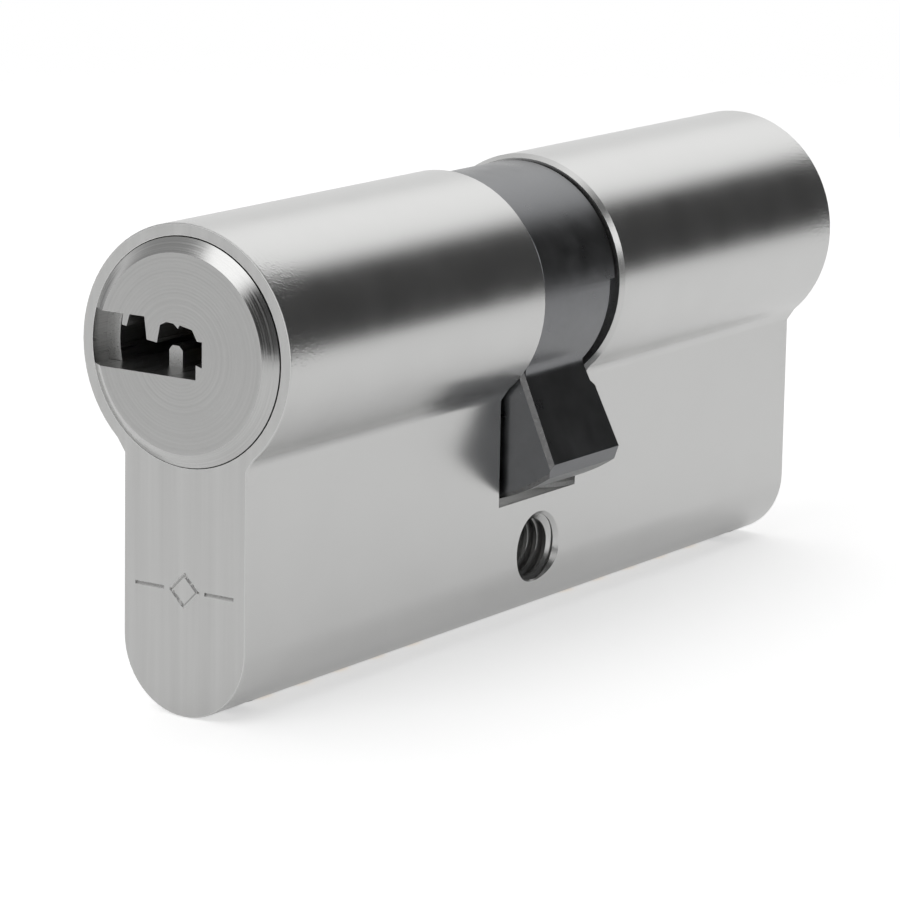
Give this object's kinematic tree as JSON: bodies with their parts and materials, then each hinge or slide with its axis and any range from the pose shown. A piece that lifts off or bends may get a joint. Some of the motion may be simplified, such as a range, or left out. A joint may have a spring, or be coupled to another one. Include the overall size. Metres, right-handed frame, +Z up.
{
  "type": "deadbolt door lock",
  "caption": "Double-sided lock cylinder with a keyhole plug at each end, spring-loaded pin stacks, a turning cam between the halves and a threaded fixing hole.",
  "frame": {"origin": "centre of the threaded fixing hole, in the middle of the length and of the stem", "axes": "+Y along the plugs from the front end to the rear end, +X along the fixing hole, +Z up from the stem to the plugs"},
  "size_m": [0.0175, 0.0714, 0.033],
  "materials": {
    "nickel_plate": "satin nickel plate on brass",
    "turned_nickel": "turned, nickel plated",
    "black_steel": "black oxide on sintered steel",
    "spring_steel": "blued spring steel",
    "sintered_steel": "sintered steel",
    "spring_wire": "drawn stainless wire",
    "plain_brass": "machined brass",
    "hardened_steel": "ground hardened steel",
    "pin_brass": "machined brass",
    "pin_steel": "machined stainless steel"
  },
  "bodies": {
    "housing": {"housing": "nickel_plate", "front_stoppers": "plain_brass", "rear_stoppers": "plain_brass", "front_drill_guards": "hardened_steel", "rear_drill_guards": "hardened_steel", "front_pin_spring_1": "spring_wire", "front_pin_spring_2": "spring_wire", "front_pin_spring_3": "spring_wire", "front_pin_spring_4": "spring_wire", "front_pin_spring_5": "spring_wire", "rear_pin_spring_1": "spring_wire", "rear_pin_spring_2": "spring_wire", "rear_pin_spring_3": "spring_wire", "rear_pin_spring_4": "spring_wire", "rear_pin_spring_5": "spring_wire"},
    "front_plug": {"front_plug": "turned_nickel", "front_clip": "spring_steel"},
    "rear_plug": {"rear_plug": "turned_nickel", "rear_clip": "spring_steel"},
    "cam": {"cam": "black_steel"},
    "coupler": {"front_drive_piece": "sintered_steel", "rear_drive_piece": "sintered_steel", "coupler_spring": "spring_wire"},
    "front_key_pin_1": {"front_key_pin_1": "pin_brass"},
    "front_key_pin_2": {"front_key_pin_2": "pin_brass"},
    "front_key_pin_3": {"front_key_pin_3": "pin_brass"},
    "front_key_pin_4": {"front_key_pin_4": "pin_brass"},
    "front_key_pin_5": {"front_key_pin_5": "pin_brass"},
    "rear_key_pin_1": {"rear_key_pin_1": "pin_brass"},
    "rear_key_pin_2": {"rear_key_pin_2": "pin_brass"},
    "rear_key_pin_3": {"rear_key_pin_3": "pin_brass"},
    "rear_key_pin_4": {"rear_key_pin_4": "pin_brass"},
    "rear_key_pin_5": {"rear_key_pin_5": "pin_brass"},
    "front_driver_pin_1": {"front_driver_pin_1": "pin_steel"},
    "front_driver_pin_2": {"front_driver_pin_2": "pin_steel"},
    "front_driver_pin_3": {"front_driver_pin_3": "pin_steel"},
    "front_driver_pin_4": {"front_driver_pin_4": "pin_steel"},
    "front_driver_pin_5": {"front_driver_pin_5": "pin_steel"},
    "rear_driver_pin_1": {"rear_driver_pin_1": "pin_steel"},
    "rear_driver_pin_2": {"rear_driver_pin_2": "pin_steel"},
    "rear_driver_pin_3": {"rear_driver_pin_3": "pin_steel"},
    "rear_driver_pin_4": {"rear_driver_pin_4": "pin_steel"},
    "rear_driver_pin_5": {"rear_driver_pin_5": "pin_steel"}
  },
  "joints": [
    {"name": "front_plug_turn", "type": "hinge", "parent": "housing", "child": "front_plug", "pos_m": [0, 0, 0.0189], "axis": [0, 1, 0], "continuous": true},
    {"name": "rear_plug_turn", "type": "hinge", "parent": "housing", "child": "rear_plug", "pos_m": [0, 0, 0.0189], "axis": [0, 1, 0], "continuous": true},
    {"name": "cam_turn", "type": "hinge", "parent": "housing", "child": "cam", "pos_m": [0, 0, 0.0189], "axis": [0, 1, 0], "continuous": true},
    {"name": "coupler_slide", "type": "slide", "parent": "cam", "child": "coupler", "axis": [0, 1, 0], "range_m": [0, 0.00426]},
    {"name": "front_key_pin_1_lift", "type": "slide", "parent": "front_plug", "child": "front_key_pin_1", "axis": [0, 0, 1], "range_m": [0, 0.001]},
    {"name": "front_key_pin_2_lift", "type": "slide", "parent": "front_plug", "child": "front_key_pin_2", "axis": [0, 0, 1], "range_m": [0, 0.001]},
    {"name": "front_key_pin_3_lift", "type": "slide", "parent": "front_plug", "child": "front_key_pin_3", "axis": [0, 0, 1], "range_m": [0, 0.001]},
    {"name": "front_key_pin_4_lift", "type": "slide", "parent": "front_plug", "child": "front_key_pin_4", "axis": [0, 0, 1], "range_m": [0, 0.001]},
    {"name": "front_key_pin_5_lift", "type": "slide", "parent": "front_plug", "child": "front_key_pin_5", "axis": [0, 0, 1], "range_m": [0, 0.001]},
    {"name": "rear_key_pin_1_lift", "type": "slide", "parent": "rear_plug", "child": "rear_key_pin_1", "axis": [0, 0, 1], "range_m": [0, 0.001]},
    {"name": "rear_key_pin_2_lift", "type": "slide", "parent": "rear_plug", "child": "rear_key_pin_2", "axis": [0, 0, 1], "range_m": [0, 0.001]},
    {"name": "rear_key_pin_3_lift", "type": "slide", "parent": "rear_plug", "child": "rear_key_pin_3", "axis": [0, 0, 1], "range_m": [0, 0.001]},
    {"name": "rear_key_pin_4_lift", "type": "slide", "parent": "rear_plug", "child": "rear_key_pin_4", "axis": [0, 0, 1], "range_m": [0, 0.001]},
    {"name": "rear_key_pin_5_lift", "type": "slide", "parent": "rear_plug", "child": "rear_key_pin_5", "axis": [0, 0, 1], "range_m": [0, 0.001]},
    {"name": "front_driver_pin_1_drop", "type": "slide", "parent": "housing", "child": "front_driver_pin_1", "axis": [0, 0, 1], "range_m": [-0.002, 0], "stiffness_N_per_m": 200, "springref_m": 0.004, "deforming": ["front_pin_spring_1"]},
    {"name": "front_driver_pin_2_drop", "type": "slide", "parent": "housing", "child": "front_driver_pin_2", "axis": [0, 0, 1], "range_m": [-0.002, 0], "stiffness_N_per_m": 200, "springref_m": 0.004, "deforming": ["front_pin_spring_2"]},
    {"name": "front_driver_pin_3_drop", "type": "slide", "parent": "housing", "child": "front_driver_pin_3", "axis": [0, 0, 1], "range_m": [-0.002, 0], "stiffness_N_per_m": 200, "springref_m": 0.004, "deforming": ["front_pin_spring_3"]},
    {"name": "front_driver_pin_4_drop", "type": "slide", "parent": "housing", "child": "front_driver_pin_4", "axis": [0, 0, 1], "range_m": [-0.002, 0], "stiffness_N_per_m": 200, "springref_m": 0.004, "deforming": ["front_pin_spring_4"]},
    {"name": "front_driver_pin_5_drop", "type": "slide", "parent": "housing", "child": "front_driver_pin_5", "axis": [0, 0, 1], "range_m": [-0.002, 0], "stiffness_N_per_m": 200, "springref_m": 0.004, "deforming": ["front_pin_spring_5"]},
    {"name": "rear_driver_pin_1_drop", "type": "slide", "parent": "housing", "child": "rear_driver_pin_1", "axis": [0, 0, 1], "range_m": [-0.002, 0], "stiffness_N_per_m": 200, "springref_m": 0.004, "deforming": ["rear_pin_spring_1"]},
    {"name": "rear_driver_pin_2_drop", "type": "slide", "parent": "housing", "child": "rear_driver_pin_2", "axis": [0, 0, 1], "range_m": [-0.002, 0], "stiffness_N_per_m": 200, "springref_m": 0.004, "deforming": ["rear_pin_spring_2"]},
    {"name": "rear_driver_pin_3_drop", "type": "slide", "parent": "housing", "child": "rear_driver_pin_3", "axis": [0, 0, 1], "range_m": [-0.002, 0], "stiffness_N_per_m": 200, "springref_m": 0.004, "deforming": ["rear_pin_spring_3"]},
    {"name": "rear_driver_pin_4_drop", "type": "slide", "parent": "housing", "child": "rear_driver_pin_4", "axis": [0, 0, 1], "range_m": [-0.002, 0], "stiffness_N_per_m": 200, "springref_m": 0.004, "deforming": ["rear_pin_spring_4"]},
    {"name": "rear_driver_pin_5_drop", "type": "slide", "parent": "housing", "child": "rear_driver_pin_5", "axis": [0, 0, 1], "range_m": [-0.002, 0], "stiffness_N_per_m": 200, "springref_m": 0.004, "deforming": ["rear_pin_spring_5"]}
  ],
  "couplings": [
    {"joint": "cam_turn", "follows": "front_plug_turn", "ratio": 1}
  ]
}
